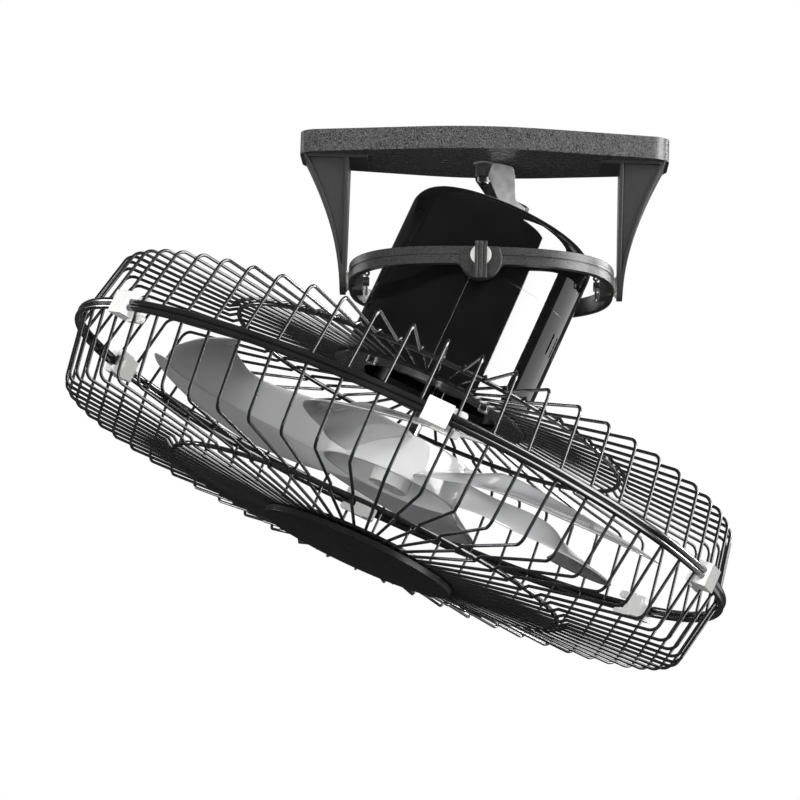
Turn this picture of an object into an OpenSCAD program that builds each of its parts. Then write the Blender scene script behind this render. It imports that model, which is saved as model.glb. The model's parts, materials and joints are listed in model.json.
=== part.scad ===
// Orbital ceiling fan. Millimetres, +Z up.
// Origin: middle of the ceiling face of the ceiling plate. X runs along the two legs.
// The head hangs in a gimbal ring and leans 22.6 degrees, and a crank carries it round in a circle.

/* [Ceiling plate] */
// Length of the ceiling plate
plate_len = 236; // [234:1:250]
// Width of the ceiling plate at its middle
plate_w = 86; // [84:1:96]
// Width of the ceiling plate at its ends
plate_end_w = 46; // [44:1:54]
// Height of the rim of the ceiling plate
plate_h = 14.4; // [13:0.2:18]
// Thickness of the walls of the ceiling plate
plate_wall = 3; // [2.4:0.2:4]

/* [Ceiling bracket] */
// Thickness of the ceiling bracket's steel
bracket_t = 2.2; // [1.6:0.2:3]
// Width of the ceiling bracket
bracket_w = 32; // [28:1:34]
// Spacing of the ceiling screw holes along X
hole_pitch_x = 100; // [80:1:120]
// Spacing of the ceiling screw holes along Y
hole_pitch_y = 18; // [14:1:20]
// Diameter of the ceiling screw holes
hole_d = 5.2; // [4.2:0.1:6.2]

/* [Legs] */
// Drop from the ceiling to the gimbal centre
gimbal_drop = 93.4; // [92:0.2:110]
// Thickness of a leg at its foot
leg_t = 3.6; // [3:0.2:5]
// Outward flare of a leg from foot to top
leg_flare = 25.5; // [18:0.5:26]
// Depth of a leg at its top
leg_top_w = 38; // [34:1:40]
// Depth of a leg at its foot
leg_foot_w = 18; // [16:1:22]

/* [Gimbal ring] */
// Half length of the ring along X
ring_a = 84.6; // [82:0.2:88]
// Half length of the ring along Y
ring_b = 73; // [72:0.2:78]
// Height of the ring's band
ring_h = 11; // [9:0.5:13]
// Thickness of the ring's band
ring_t = 4; // [3:0.5:5]
// Diameter of the four pivot pins
pivot_d = 6; // [5:0.5:7]
// Lean of the ring about X in the rest pose
ring_lean = -3.5; // [-6:0.5:0]
// Lean of the head about Y in the rest pose
head_lean = 22.6; // [20:0.2:23]

/* [Motor housing] */
// Outer radius of the motor housing
house_r = 62; // [60:0.5:62.5]
// Wall of the motor housing
house_wall = 2.2; // [1.8:0.1:2.6]
// Height of the housing above the gimbal centre
house_top = 43; // [42:0.5:44]
// Radius of the housing's rounded top edge
house_round = 13; // [8:1:14]
// Depth of the seam below the gimbal centre
seam_drop = 5; // [5:0.5:7]

/* [Motor] */
// Diameter of the motor shaft
shaft_d = 8; // [7:0.5:10]
// Outer radius of the stator
stator_r = 42; // [38:0.5:43]
// Length of the stator's stack
stack_len = 28; // [20:1:30]
// Radius of the rotor
rotor_r = 22; // [18:0.5:24]
// Air gap between rotor and stator
air_gap = 0.4; // [0.3:0.1:0.6]

/* [Gears] */
// Module of the gear teeth
gear_m = 0.5; // [0.48:0.01:0.5]
// Teeth on each pinion
pinion_n = 14; // [14:1:15]
// Teeth on the first and second wheel
wheel_n = 70; // [66:1:70]
// Teeth on the output wheel
output_n = 84; // [78:1:84]

/* [Guard] */
// Radius of the guard at the middle of its rim hoops
hoop_r = 222; // [216:1:230]
// Distance from gimbal centre to the joint of the two guards
hoop_s = 129.5; // [128:0.5:132]
// Diameter of a rim hoop's wire
hoop_d = 3.8; // [3:0.1:5]
// Diameter of a guard wire
wire_d = 2; // [1.8:0.1:2.6]
// Number of wires in each guard
wire_n = 60; // [54:6:66]
// Turn of the guards' wires and clips about the head's axis
wire_turn = -1; // [-3:0.5:3]
// Radius of the rear guard at its bend
rear_bend_r = 210; // [204:1:212]
// Distance from gimbal centre to the rear guard's bend
rear_bend_s = 85.4; // [84:0.2:88]
// How far the front guard's bend stands outside the rear guard's
front_bulge = 1; // [0:0.5:2]
// Distance from gimbal centre to the front guard's bend
front_bend_s = 173.4; // [170:0.2:178]
// Bend radius of a guard wire at its centre line
bend_r = 7; // [5:0.5:9]
// Radius of each guard's middle ring
mid_ring_r = 136; // [120:1:150]
// Outer radius of the rear guard's centre plate
rear_plate_r = 66; // [65.5:0.5:70]
// Distance from gimbal centre to the rear guard's centre plate
rear_plate_s = 79.4; // [79:0.2:82]
// Radius of the front cap
cap_r = 64; // [60:1:70]
// Distance from gimbal centre to the front wires under the cap
cap_s = 187; // [185:0.5:190]
// Number of white clips on the rim
clip_n = 6; // [3:1:6]
// Turn of the first clip from the near side
clip_turn = 9; // [9:6:15]

/* [Blades] */
// Number of blades
blade_n = 6; // [3:1:6]
// Radius of the blade tips
blade_r = 183; // [170:1:190]
// Radius of the blade hub
hub_r = 46; // [42:1:50]
// Distance from gimbal centre to the back of the blade hub
hub_s = 114.5; // [112:0.5:116]
// Depth of the blade hub
hub_h = 27.5; // [24:0.5:30]
// Thickness of a blade
blade_t = 2.2; // [1.8:0.1:3]
// Turn of the first blade from the near side
blade_turn = 5; // [0:1:59]

/* [Hidden] */
$fn = 64;
eps = 0.02;
lap = 1;
far = 400;

// Fits
run_fit = 0.05;
slide_gap = 0.3;

// Ceiling plate and bracket
plate_corner_r = 13;
plate_bow_r = 200;
plate_apex = plate_w / 2 + 4;
ear_gap = 0.3;
ear_x = plate_len / 2 - plate_wall - ear_gap;
ear_drop = plate_h - plate_wall - 1;
ear_in = 6;
ear_w = plate_end_w - 2 * (plate_wall + 7);
side_screw_d = 4;
side_head_r = 3.4;
side_head_h = 1.6;
side_sink_r = side_head_r + slide_gap;
side_sink = side_head_h + 0.1;
side_screw_y = 8;
side_screw_z = -plate_h / 2;
bush_r = 7;
bush_h = 9;

// Legs
leg_in = ring_a + 2;
leg_top_z = -plate_h;
leg_foot_z = -gimbal_drop - leg_foot_w / 2;
leg_run = leg_top_z - leg_foot_z;
leg_lip = 2.2;
leg_pocket = 2.5;
foot_t = 2;
foot_in = leg_in - 12;
leg_screw_d = 5;
leg_screw_len = 14;
leg_screw_x = leg_in + 9;
leg_screw_y = 8;

// Ring
ring_power = 2.84;
ring_seam = 0.5;
ring_groove = 1;
lug_in = ring_a - 9;
lug_w = 15;
lug_h = 15;
boss_r = 13;
boss_drop = 2;
boss_out = ring_b + 0.6;
boss_in = ring_b - ring_t - 2;
fillet_r = 6;
fillet_z = -ring_h / 2 - fillet_r;
fillet_x = sqrt(pow(boss_r + fillet_r - 0.3, 2) - pow(fillet_z + boss_drop, 2));
fillet_low = (fillet_z + boss_drop) * boss_r / (boss_r + fillet_r) - boss_drop;
bush_wall = 1.6;
bush_flange = 1;
bush_flange_r = pivot_d / 2 + bush_wall + 1.4;
wide_flange_r = bush_flange_r + 0.5;

// Head stack, measured up the head's axis from the gimbal centre
ear_h = 16;
ear_x_half = 9;
motor_top = -14;
stack_top = -24;
stack_bot = stack_top - stack_len;
front_plate_z = stack_bot - 14;
front_bearing_z = front_plate_z + 3;
bearing_r = 9.5;
bearing_h = 8;
bearing_hub_r = 12;
bracket_r = stator_r + 2.5;
bolt_r = 37;
post_r = 54;
post_w = 9;
bracket_plate = 3;
flange_in = 47;
case_wall = 2;
case_z = ear_h / 2;
case_floor = 2.5;
case_top = 34;
cover_t = 2.5;
out_hub_r = 10;
out_hub_top = house_top - 1.5;
lug_turn = 30;
lug_r = 3.4;
case_screw_d = 2.4;

// Gear train
pinion_r = gear_m * pinion_n / 2;
wheel_r = gear_m * wheel_n / 2;
output_r = gear_m * output_n / 2;
first_c = pinion_r + wheel_r;
output_c = pinion_r + output_r;
first_turn = 60;
second_turn = first_turn + acos((first_c * first_c + output_c * output_c - first_c * first_c)
  / (2 * first_c * output_c));
first_at = first_c * [cos(first_turn), sin(first_turn)];
second_at = output_c * [cos(second_turn), sin(second_turn)];
mesh_turn = atan2(second_at.y - first_at.y, second_at.x - first_at.x);
case_room = 1;
case_r = output_c + wheel_r + gear_m + case_room + case_wall;
lug_at = case_r - case_wall / 2 - lug_r;
wheel_t = 4;
stage_z = 13;
stage_step = 5;
axle_d = 3;
axle_boss_r = axle_d / 2 + 1.2;
stub_r = 2;
out_shaft_r = 4;
gear_gap = 0.3;
first_top = stage_z + wheel_t + stage_step + 0.6;
second_top = stage_z + wheel_t + 2 * stage_step + 1.6;
out_gear_z = stage_z + 2 * stage_step + 0.6;
clutch_r = 9;
spring_z = out_gear_z + wheel_t + 0.1;
spring_top = spring_z + 3.3;

// Guard
rim_in_r = hoop_r - hoop_d / 2 - wire_d / 2 + eps;
front_bend_r = rear_bend_r + front_bulge;
rear_end_r = house_r + 0.5;
plate_t = 2;
rear_end_s = rear_plate_s - wire_d / 2 + eps;
front_end_r = cap_r - 10;
rib_d = 3;
cap_t = 3;
cap_rise = 2.5;
clip_w = 16;
clip_wall = 2.4;
clip_side = 3.4;

// Blades
hub_wall = 3;
nut_r = 13;
nut_h = 11;
nut_sink = 8.4;
seat_s = hub_s + hub_h - nut_sink;
shaft_front = seat_s + 9;
rib_t = 2;
lean = acos(cos(ring_lean) * cos(head_lean));
crank_turn = atan2(sin(ring_lean), -sin(head_lean) * cos(ring_lean));

// Crank
orbit_r = gimbal_drop - plate_h - 0.4;
sleeve_r = 5.75;
sleeve_h = 8.4;
sheet_t = 1.5;
crank_hub_r = 8;
crank_hub_top = 58;
crank_hub_z = out_hub_top + 0.3;
crank_disc_r = 14;
crank_disc_t = 1.5;
sheet_low = house_top + 4;
spindle_r = 3;

// ---------- shared shapes ----------

// Places its children in the ring's frame
module in_ring() { translate([0, 0, -gimbal_drop]) rotate([ring_lean, 0, 0]) children(); }

// Places its children in the head's frame, whose +Z points out of the back of the head
module in_head() { in_ring() rotate([0, head_lean, 0]) children(); }

// Places its children in the crank's frame, whose +X points at the ceiling plate's middle
module in_crank() { in_head() rotate([0, 0, crank_turn]) children(); }

// Places its children on the crank's upright spindle
module on_spindle() { in_crank() rotate([0, lean, 0]) children(); }

// Both ends of X
module both_x() { for (s = [0, 180]) rotate([0, 0, s]) children(); }

// A tube along +Z
module tube(r_out, r_in, z0, z1) {
  translate([0, 0, z0]) difference() {
    cylinder(r = r_out, h = z1 - z0);
    translate([0, 0, -1]) cylinder(r = r_in, h = z1 - z0 + 2);
  }
}

// A rod along +Z
module rod(r, z0, z1) { translate([0, 0, z0]) cylinder(r = r, h = z1 - z0); }

// A rod along +X
module rod_x(r, x0, x1) { translate([x0, 0, 0]) rotate([0, 90, 0]) cylinder(r = r, h = x1 - x0); }

// A rod along -Y, toward the near side
module rod_y(r, y0, y1) { translate([0, -y0, 0]) rotate([90, 0, 0]) cylinder(r = r, h = y1 - y0); }

// A pan-head screw that stands on z = 0 with its head above
module screw(d, len, head_r, head_h) {
  rod(d / 2, -len, eps);
  difference() {
    rod(head_r, 0, head_h);
    for (a = [0, 90]) rotate([0, 0, a])
      translate([-head_r * 0.6, -0.4, head_h - 0.6]) cube([head_r * 1.2, 0.8, 1]);
  }
}

// Corner of an outline, turned into an arc of radius r
function unit(v) = v / norm(v);
function corner(a, b, c, r, n = 8) =
  let (u = unit(a - b), w = unit(c - b), half = acos(u * w) / 2, t = r / tan(half),
       mid = b + unit(u + w) * r / sin(half), p = b + u * t, q = b + w * t,
       pa = atan2(p.y - mid.y, p.x - mid.x), qa = atan2(q.y - mid.y, q.x - mid.x),
       d = ((qa - pa + 540) % 360) - 180)
  [for (i = [0:n]) mid + r * [cos(pa + d * i / n), sin(pa + d * i / n)]];

// Outline of the ceiling plate, drawn in by g
function plate_points(g) =
  let (x = plate_len / 2 - g, y = plate_end_w / 2 - g * 0.85, top = plate_apex - g,
       v = [[0, -top], [x, -y], [x, y], [0, top], [-x, y], [-x, -y]], n = len(v))
  [for (i = [0:n - 1]) each corner(v[(i + n - 1) % n], v[i], v[(i + 1) % n],
    v[i].x == 0 ? plate_bow_r - g : plate_corner_r - g)];

// Outline of the ring, drawn in by g
function ring_points(g, n = 96) =
  [for (i = [0:n - 1]) let (t = 360 * i / n, c = cos(t), s = sin(t))
    [(ring_a - g) * sign(c) * pow(abs(c), 2 / ring_power),
     (ring_b - g) * sign(s) * pow(abs(s), 2 / ring_power)]];

// Involute outline of a gear
pressure = 25;
tooth_thin = 0.06;
function inv_turn(base, r) = let (k = sqrt(max(0, r * r / (base * base) - 1))) k * 180 / PI - atan(k);
function gear_points(n) =
  let (pr = gear_m * n / 2, base = pr * cos(pressure), top = pr + 0.85 * gear_m, root = pr - 1.15 * gear_m,
       half = 90 / n + inv_turn(base, pr) - tooth_thin * 180 / PI / pr / 2, low = max(base, root), k = 2,
       foot = half - inv_turn(base, low) + 0.25 * 90 / n)
  [for (i = [0:n - 1]) let (a = 360 * i / n) each concat(
    [[root, a - foot]],
    [for (j = [0:k]) let (r = low + (top - low) * j / k) [r, a - half + inv_turn(base, r)]],
    [for (j = [k:-1:0]) let (r = low + (top - low) * j / k) [r, a + half - inv_turn(base, r)]],
    [[root, a + foot]])];
module gear(n, z0, t, turn = 0) {
  pts = [for (p = gear_points(n)) p.x * [cos(p.y), sin(p.y)]];
  translate([0, 0, z0]) rotate([0, 0, turn]) linear_extrude(t) polygon(pts);
}

// ---------- ceiling plate ----------

module ceiling_plate() {
  color("dimgray") difference() {
    translate([0, 0, -plate_h]) linear_extrude(plate_h) polygon(plate_points(0));
    translate([0, 0, plate_wall - plate_h]) linear_extrude(plate_h) polygon(plate_points(plate_wall));
    rod(bush_r, -plate_h - 1, 1);
    both_x() {
      for (s = [-1, 1]) {
        translate([0, s * side_screw_y, side_screw_z]) {
          rod_x(side_screw_d / 2 + slide_gap, ear_x, far);
          rod_x(side_sink_r, plate_len / 2 - side_sink, far);
        }
        translate([leg_screw_x, s * leg_screw_y, 0]) rod(leg_screw_d / 2 + 0.25, -plate_h - 1, 1);
      }
    }
  }
}

module ceiling_bracket() {
  color("silver") difference() {
    union() {
      translate([-ear_x + ear_in, -bracket_w / 2, -bracket_t])
        cube([2 * (ear_x - ear_in), bracket_w, bracket_t]);
      translate([-ear_x, -ear_w / 2, -bracket_t]) cube([2 * ear_x, ear_w, bracket_t]);
      both_x() translate([ear_x - bracket_t, -ear_w / 2, -ear_drop]) cube([bracket_t, ear_w, ear_drop]);
    }
    for (x = [-1, 1], y = [-1, 1])
      translate([x * hole_pitch_x / 2, y * hole_pitch_y / 2, 0]) rod(hole_d / 2, -far, far);
    both_x() for (s = [-1, 1])
      translate([0, s * side_screw_y, side_screw_z]) rod_x(side_screw_d / 2, 0, far);
  }
}

module plate_screws() {
  color("silver") both_x() for (s = [-1, 1])
    translate([plate_len / 2 - side_sink, s * side_screw_y, side_screw_z]) rotate([0, 90, 0])
      screw(side_screw_d, plate_wall + bracket_t, side_head_r, side_head_h);
}

module terminal_block() {
  color("ivory") translate([24, -bracket_w / 2 - 15, plate_wall - plate_h]) difference() {
    cube([32, 11, 7]);
    for (i = [0:2]) translate([6 + 10 * i, 5.5, 4]) rod(2.2, 0, 5);
  }
}

// Bush in the ceiling plate that the crank's spindle turns in
module spindle_bush() {
  color("white") difference() {
    rod(bush_r, -plate_h, bush_h - plate_h);
    rod(spindle_r + run_fit, -far, far);
  }
}

// ---------- legs ----------

leg_bend = 1.8;
pivot_share = 0.15;
function leg_x(t) = leg_in + leg_t + leg_flare * pow(t, leg_bend);
function leg_z(t) = leg_foot_z + leg_run * t;
leg_boss_x = leg_x(pivot_share) - 1;

// Side view of a leg, with its outer edge curved from foot to top
leg_profile = concat([for (t = [0:14]) [leg_x(t / 14), leg_z(t / 14)]],
  [[leg_in, leg_top_z], [leg_in, leg_foot_z]]);

// Side view of the pocket that leaves a lip along the leg's inner and outer edges
pocket_from = pow(max(0, 2 * leg_lip - leg_t) / leg_flare, 1 / leg_bend) + 0.06;
pocket_profile = concat(
  [for (i = [0:10]) let (t = pocket_from + (1 - pocket_from) * i / 10) [leg_x(t) - leg_lip, leg_z(t)]],
  [[leg_in + leg_lip, leg_top_z], [leg_in + leg_lip, leg_z(pocket_from)]]);

// Front view of a leg, tapered down to a rounded foot and drawn in by g
function taper_points(g) = let (w = leg_foot_w / 2 - g) concat(
  [[leg_top_w / 2 - g, leg_top_z], [g - leg_top_w / 2, leg_top_z], [-w, -gimbal_drop]],
  [for (a = [15:15:165]) [-w * cos(a), -gimbal_drop - (leg_foot_w / 2 - g) * sin(a)]],
  [[w, -gimbal_drop]]);
module leg_taper(g) { rotate([90, 0, 90]) linear_extrude(far) polygon(taper_points(g)); }
module side_slab(pts) { translate([0, far / 2, 0]) rotate([90, 0, 0]) linear_extrude(far) polygon(pts); }

module leg() {
  difference() {
    union() {
      difference() {
        intersection() { side_slab(leg_profile); leg_taper(0); }
        difference() { side_slab(pocket_profile); leg_taper(leg_pocket); }
      }
      translate([foot_in, -leg_top_w / 2, leg_top_z - foot_t])
        cube([leg_x(0.93) - foot_in, leg_top_w, foot_t]);
      translate([0, 0, -gimbal_drop]) rod_x(leg_foot_w / 2 - 1, leg_in, leg_boss_x);
    }
    translate([0, 0, -gimbal_drop]) {
      rod_x(pivot_d / 2, 0, far);
      rod_x(pin_head_r + slide_gap, leg_boss_x - pin_head_t, far);
    }
    for (s = [-1, 1])
      translate([leg_screw_x, s * leg_screw_y, 0]) rod(leg_screw_d / 2, leg_top_z - leg_screw_len, 1);
  }
}

module leg_right() { color("dimgray") leg(); }
module leg_left() { color("dimgray") rotate([0, 0, 180]) leg(); }

module leg_screws() {
  color("silver") both_x() for (s = [-1, 1])
    translate([leg_screw_x, s * leg_screw_y, plate_wall - plate_h])
      screw(leg_screw_d, leg_screw_len, leg_screw_d * 0.8, leg_screw_d / 2);
}

pin_in = lug_in - 4;
pin_head_t = 1.6;
pin_head_r = pivot_d / 2 + 1.8;
split_x = lug_in - 2.3;
split_d = pivot_d / 4;
split_eye_r = 1.3;
module leg_pivot_pins() {
  color("silver") translate([0, 0, -gimbal_drop]) both_x() difference() {
    union() {
      rod_x(pivot_d / 2, pin_in, leg_boss_x - pin_head_t + eps);
      rod_x(pin_head_r, leg_boss_x - pin_head_t, leg_boss_x - 0.1);
    }
    translate([split_x, 0, 0]) rod(split_d / 2 + run_fit, -far, far);
  }
}

module leg_split_pins() {
  color("white") translate([0, 0, -gimbal_drop]) both_x() translate([split_x, 0, 0]) {
    rod(split_d / 2, -1.5 * pivot_d, pivot_d / 2 + 1.4);
    translate([0, 0, pivot_d / 2 + split_eye_r + 1.1]) rotate([90, 0, 0])
      rotate_extrude() translate([split_eye_r, 0]) circle(r = split_d / 2);
  }
}

module thrust_washers() {
  color("white") translate([0, 0, -gimbal_drop]) both_x() rotate([0, 90, 0])
    tube(pivot_d / 2 + 4, pivot_d / 2 + run_fit, ring_a + bush_flange + 0.1, leg_in - 0.1);
}

// ---------- gimbal ring ----------

module ring_slab(g, h) { translate([0, 0, -h / 2]) linear_extrude(h) polygon(ring_points(g)); }

// Web that leads the ring's lower edge into the boss on the near side
module ring_fillet() {
  difference() {
    translate([-fillet_x, -ring_b, fillet_low])
      cube([2 * fillet_x, ring_t, lap - ring_h / 2 - fillet_low]);
    for (x = [-1, 1]) translate([x * fillet_x, 0, fillet_z]) rod_y(fillet_r, 0, far);
  }
}

module gimbal_ring() {
  color("dimgray") in_ring() difference() {
    union() {
      difference() {
        ring_slab(0, ring_h);
        ring_slab(ring_t, ring_h + 2);
        difference() { ring_slab(-1, ring_groove); ring_slab(ring_seam, ring_groove + 1); }
      }
      both_x() {
        ring_fillet();
        translate([lug_in, -lug_w / 2, -lug_h / 2]) cube([ring_a - ring_t / 2 - lug_in, lug_w, lug_h]);
        intersection() {
          translate([0, 0, -boss_drop]) rod_y(boss_r, boss_in, boss_out);
          translate([-far / 2, -far / 2, ring_h / 2 - far]) cube(far);
        }
      }
    }
    both_x() {
      rod_x(pivot_d / 2 + bush_wall, 0, far);
      rod_y(pivot_d / 2 + bush_wall, 0, far);
    }
  }
}

module flanged_bush(inner, outer, flange_r) {
  difference() {
    union() {
      rod_x(pivot_d / 2 + bush_wall, inner, outer);
      rod_x(flange_r, outer, outer + bush_flange);
    }
    rod_x(pivot_d / 2 + run_fit, 0, far);
  }
}

module leg_pivot_bushes() {
  color("white") in_ring() both_x() flanged_bush(lug_in, ring_a, bush_flange_r);
}
module head_pivot_bushes() {
  color("white") in_ring() rotate([0, 0, 90]) both_x() flanged_bush(boss_in, boss_out, wide_flange_r);
}

// ---------- head: pivots and housing ----------

knob_w = 7.6;
knob_up = 7;
knob_down = 16.5;
knob_t = 5.5;
knob_at = boss_out + bush_flange + 0.3;
pin_deep = 24;
module knob() {
  difference() {
    union() {
      rod_y(pivot_d / 2, pin_deep, knob_at + 1);
      rod_y(pivot_d / 2 + 0.8, knob_at, knob_at + 1);
      translate([-knob_w / 2, -knob_at - 1 - knob_t, -knob_down])
        cube([knob_w, knob_t, knob_up + knob_down]);
    }
    for (x = [-1, 1]) translate([x * knob_w / 5 - 0.4, -knob_at - knob_t - 1.5, -knob_down - 1])
      cube([0.8, 1.2, knob_up + knob_down + 2]);
  }
}
module head_pivot_knobs() { color("dimgray") in_ring() both_x() knob(); }

// Half section of the housing's top, drawn in by g
function cap_section(g, low) = let (r = house_r - g, top = house_top - g, q = house_round - g) concat(
  [[0, low], [r, low]],
  [for (a = [0:10:90]) [r - q + q * cos(a), top - q + q * sin(a)]],
  [[0, top]]);

module upper_housing() {
  color("black") in_head() difference() {
    rotate_extrude() polygon(cap_section(0, -seam_drop));
    rotate_extrude() polygon(cap_section(house_wall, -seam_drop - 1));
    rod(out_hub_r + slide_gap, 0, far);
    both_x() rod_y(pivot_d / 2 + 0.5, 30, far);
    three(pillar_turn, pillar_at) rod(house_screw_d / 2 + 0.2, 0, far);
  }
}

// Three places around the head's axis
module three(turn, r) { for (i = [0:2]) rotate([0, 0, 120 * i + turn]) translate([r, 0, 0]) children(); }

pillar_turn = 90;
pillar_at = case_r - 6;
pillar_r = 3.6;
house_screw_d = 3.4;
module housing_screws() {
  color("silver") in_head() three(pillar_turn, pillar_at) translate([0, 0, house_top])
    screw(house_screw_d, house_top - case_top - 1, 3.2, 1.8);
}

split_turn = -1.5;
split_gap = 0.4;
module lower_housing() {
  difference() {
    rod(house_r, -rear_plate_s, -seam_drop);
    rod(house_r - house_wall, 2.5 - rear_plate_s, 0);
    rod(flange_in, -far, 0);
    for (a = [0:3]) rotate([0, 0, 90 * a + 45]) translate([post_r, 0, 0]) rod(2.2, -far, 0);
    both_x() for (i = [-3:3]) rotate([0, 0, 7 * i]) translate([house_r - 6, -1.2, -30]) cube([12, 2.4, 14]);
  }
}
module lower_housing_right() {
  color("black") in_head() intersection() {
    lower_housing();
    rotate([0, 0, split_turn]) translate([split_gap / 2, -far / 2, -far]) cube([far, far, far]);
  }
}
module lower_housing_left() {
  color("black") in_head() intersection() {
    lower_housing();
    rotate([0, 0, split_turn + 180]) translate([split_gap / 2, -far / 2, -far]) cube([far, far, far]);
  }
}

// ---------- head: motor ----------

ear_reach = sqrt(pow(house_r - house_wall - 0.4, 2) - pow(ear_x_half, 2));
module rear_motor_bracket() {
  color("silver") in_head() difference() {
    union() {
      tube(bracket_r, bracket_r - 2.5, stack_top, motor_top + bracket_plate);
      rod(bracket_r, motor_top, motor_top + bracket_plate);
      rod(bearing_hub_r, motor_top, ear_h / 2 - 2);
      translate([-ear_x_half, -ear_reach, -ear_h / 2]) cube([2 * ear_x_half, 2 * ear_reach, ear_h]);
      for (a = [0:3]) rotate([0, 0, 90 * a + 45])
        translate([bolt_r, 0, 0]) rod(post_w / 2, stack_top, motor_top + lap);
    }
    rod(shaft_d / 2 + 1, -far, far);
    rod(bearing_r, ear_h / 2 - bearing_h, far);
    both_x() rod_y(pivot_d / 2, 20, far);
    for (a = [0:3]) rotate([0, 0, 90 * a + 45]) translate([bolt_r, 0, 0]) rod(2, -far, motor_top + 4);
  }
}

module front_motor_bracket() {
  color("silver") in_head() difference() {
    union() {
      tube(bracket_r, bracket_r - 2.5, front_plate_z, stack_bot);
      rod(bracket_r, front_plate_z, front_plate_z + bracket_plate);
      rod(bearing_hub_r, front_bearing_z - bearing_h, front_bearing_z + 4);
      for (a = [0:3]) rotate([0, 0, 90 * a + 45]) {
        translate([bolt_r, 0, 0]) rod(post_w / 2, front_plate_z + lap, stack_bot);
        translate([post_r, 0, 0]) rod(post_w / 2, 2.5 - rear_plate_s, front_plate_z + bracket_plate + lap);
        translate([bolt_r, -3, front_plate_z + lap / 2]) cube([post_r - bolt_r, 6, bracket_plate - lap]);
      }
    }
    rod(shaft_d / 2 + 1, -far, far);
    rod(bearing_r, -far, front_bearing_z);
    for (a = [0:3]) rotate([0, 0, 90 * a + 45]) {
      translate([bolt_r, 0, 0]) rod(2.2, -far, 0);
      translate([post_r, 0, 0]) rod(1.7, -far, front_plate_z + 1);
    }
  }
}

module rear_bearing() {
  color("silver") in_head() tube(bearing_r, shaft_d / 2 + run_fit, ear_h / 2 - bearing_h, ear_h / 2);
}
module front_bearing() {
  color("silver") in_head()
    tube(bearing_r, shaft_d / 2 + run_fit, front_bearing_z - bearing_h, front_bearing_z);
}

slot_n = 16;
module stator_core() {
  color("gray") in_head() difference() {
    rod(stator_r, stack_bot, stack_top);
    rod(rotor_r + air_gap, -far, 0);
    for (i = [0:slot_n - 1]) rotate([0, 0, 360 * (i + 0.5) / slot_n]) {
      translate([rotor_r + 2, -2, -far]) cube([8, 4, far]);
      translate([rotor_r - 2, -0.8, -far]) cube([6, 1.6, far]);
    }
    for (a = [0:3]) rotate([0, 0, 90 * a + 45]) translate([bolt_r, 0, 0]) rod(2.2, -far, 0);
  }
}

// Copper ring at each end of the stack with the coil sides that run through the slots
module stator_windings() {
  color("peru") in_head() {
    tube(rotor_r + 10, rotor_r + 2.2, stack_top, stack_top + 5);
    tube(rotor_r + 10, rotor_r + 2.2, stack_bot - 5, stack_bot);
    for (i = [0:slot_n - 1]) rotate([0, 0, 360 * (i + 0.5) / slot_n])
      translate([rotor_r + 2.4, -1.8, stack_bot - 1]) cube([7.4, 3.6, stack_len + 2]);
  }
}

module motor_bolts() {
  color("silver") in_head() for (a = [0:3]) rotate([0, 0, 90 * a + 45])
    translate([bolt_r, 0, front_plate_z]) mirror([0, 0, 1])
      screw(4, motor_top + 2 - front_plate_z, 3.6, 2.4);
}

cap_box = [house_r - house_wall - case_r - 4, 22, 18];
module capacitor() {
  color("ivory") in_head() translate([case_r + slide_gap, -cap_box.y / 2, case_z + 4]) cube(cap_box);
}

// ---------- head: gearbox ----------

module gearbox_case() {
  color("dimgray") in_head() difference() {
    union() {
      tube(case_r, case_r - case_wall, case_z, case_top + lap);
      rod(case_r, case_z, case_z + case_floor);
      translate(first_at) rod(axle_boss_r, case_z + lap, stage_z - gear_gap);
      translate(second_at) rod(axle_boss_r, case_z + lap, stage_z + stage_step - gear_gap);
      three(lug_turn, lug_at) rod(lug_r, case_z + lap, case_top + lap);
    }
    rod(case_r + lap, case_top, far);
    rod(bearing_r - 2, -far, far);
    for (p = [first_at, second_at]) translate(p) rod(axle_d / 2, -far, far);
    three(lug_turn, lug_at) rod(case_screw_d / 2, case_top - 10, far);
  }
}

module gearbox_cover() {
  color("dimgray") in_head() difference() {
    union() {
      rod(case_r, case_top, case_top + cover_t);
      rod(out_hub_r, spring_top + gear_gap, out_hub_top);
      translate(second_at) rod(axle_boss_r, second_top + gear_gap, case_top + 1);
      three(pillar_turn, pillar_at) rod(pillar_r, case_top + lap, house_top - house_wall);
    }
    rod(out_shaft_r + run_fit, -far, far);
    translate(second_at) rod(axle_d / 2, -far, far);
    three(lug_turn, lug_at) rod(case_screw_d / 2 + 0.2, -far, far);
    three(pillar_turn, pillar_at) rod(house_screw_d / 2, case_top + 1, far);
  }
}

module gearbox_screws() {
  color("silver") in_head() three(lug_turn, lug_at) translate([0, 0, case_top + cover_t])
    screw(case_screw_d, cover_t + 9, 2.4, 1.6);
}

module gear_axles() {
  color("silver") in_head() {
    translate(first_at) rod(axle_d / 2, case_z, first_top + 0.1);
    translate(second_at) rod(axle_d / 2, case_z, case_top + cover_t);
  }
}

// Turn that puts a gear at rest in mesh with its driver, seen along line_turn
function meshed(n_from, turn_from, n_to, line_turn) =
  line_turn + 180 + 180 / n_to - (turn_from - line_turn) * n_from / n_to;

module first_gear() {
  color("white") in_head() translate(first_at) difference() {
    union() {
      gear(wheel_n, stage_z, wheel_t, meshed(pinion_n, 0, wheel_n, first_turn));
      gear(pinion_n, stage_z + wheel_t - eps, first_top - stage_z - wheel_t + eps, 0);
    }
    rod(axle_d / 2 + run_fit, 0, far);
  }
}

module second_gear() {
  wheel_top = stage_z + stage_step + wheel_t;
  color("white") in_head() translate(second_at) difference() {
    union() {
      gear(wheel_n, stage_z + stage_step, wheel_t, meshed(pinion_n, 0, wheel_n, mesh_turn));
      gear(pinion_n, wheel_top - eps, second_top - wheel_top + eps, 0);
    }
    rod(axle_d / 2 + run_fit, 0, far);
  }
}

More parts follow.
